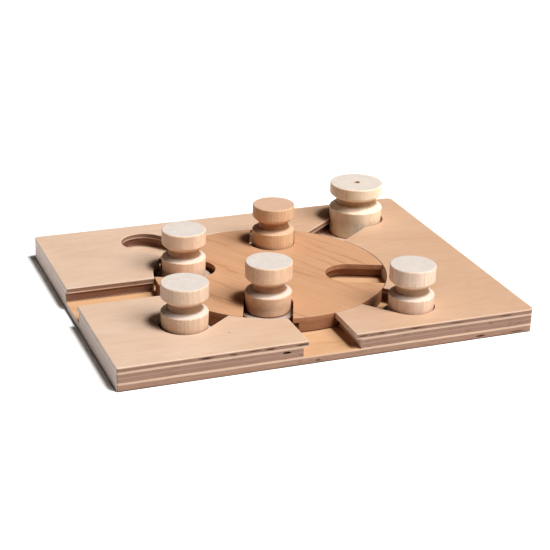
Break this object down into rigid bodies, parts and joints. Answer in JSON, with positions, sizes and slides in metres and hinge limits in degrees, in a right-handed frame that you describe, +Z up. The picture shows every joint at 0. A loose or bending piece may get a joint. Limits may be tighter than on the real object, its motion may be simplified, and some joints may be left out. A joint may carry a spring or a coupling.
{
  "type": "sliding-peg puzzle board",
  "caption": "Flat plywood puzzle board with a turning disc, radial keyhole compartments, sliding turned pegs on captive feet and a lift-out plug.",
  "frame": {"origin": "centre of the board's underside, on the surface it rests on", "axes": "+X along the long side to the right, +Y from the front edge to the back edge, +Z up"},
  "size_m": [0.3, 0.239, 0.048],
  "materials": {
    "birch_ply": "fine sanded birch plywood, clear matt oil",
    "ply_core": "sawn plywood edge, unfinished",
    "disc_hardwood": "sanded alder, clear matt oil",
    "beech": "turned beech, fine sanded",
    "toasted_beech": "turned beech with a warm orange-brown oil",
    "steel": "zinc-plated screw steel"
  },
  "bodies": {
    "board": {"base_plate": "birch_ply", "frame_lower_main": "ply_core", "frame_lower_corner": "ply_core", "frame_top_main": "birch_ply", "frame_top_corner": "birch_ply", "pivot_washer": "steel"},
    "disc": {"disc_lower": "disc_hardwood", "disc_top": "disc_hardwood", "pivot_screw": "steel"},
    "peg_disc_back": {"peg_disc_back_body": "toasted_beech", "peg_disc_back_foot": "beech", "peg_disc_back_screw": "steel"},
    "peg_disc_left": {"peg_disc_left_body": "beech", "peg_disc_left_foot": "beech", "peg_disc_left_screw": "steel"},
    "peg_disc_front": {"peg_disc_front_body": "beech", "peg_disc_front_foot": "beech", "peg_disc_front_screw": "steel"},
    "peg_front_left": {"peg_front_left_body": "beech", "peg_front_left_foot": "beech", "peg_front_left_screw": "steel"},
    "peg_front_right": {"peg_front_right_body": "beech", "peg_front_right_foot": "beech", "peg_front_right_screw": "steel"},
    "plug": {"loading_plug": "beech"}
  },
  "joints": [
    {"name": "disc_turn", "type": "hinge", "parent": "board", "child": "disc", "pos_m": [-0.0012, 0.0013, 0], "axis": [0, 0, 1], "continuous": true},
    {"name": "peg_disc_back_slide", "type": "slide", "parent": "disc", "child": "peg_disc_back", "axis": [0.3697, 0.9291, 0], "range_m": [-0.0012, 0.0061]},
    {"name": "peg_disc_left_slide", "type": "slide", "parent": "disc", "child": "peg_disc_left", "axis": [-0.9291, 0.3697, 0], "range_m": [-0.0068, 0.0009]},
    {"name": "peg_disc_front_slide", "type": "slide", "parent": "disc", "child": "peg_disc_front", "axis": [-0.3697, -0.9291, 0], "range_m": [-0.0003, 0.0074]},
    {"name": "peg_front_left_slide", "type": "slide", "parent": "board", "child": "peg_front_left", "axis": [-0.7815, -0.6239, 0], "range_m": [-0.0076, 0.0006]},
    {"name": "peg_front_right_slide", "type": "slide", "parent": "board", "child": "peg_front_right", "axis": [0.6307, -0.776, 0], "range_m": [-0.0086, 0.0002]},
    {"name": "plug_lift", "type": "slide", "parent": "board", "child": "plug", "axis": [0, 0, 1], "range_m": [0, 0.035]}
  ]
}
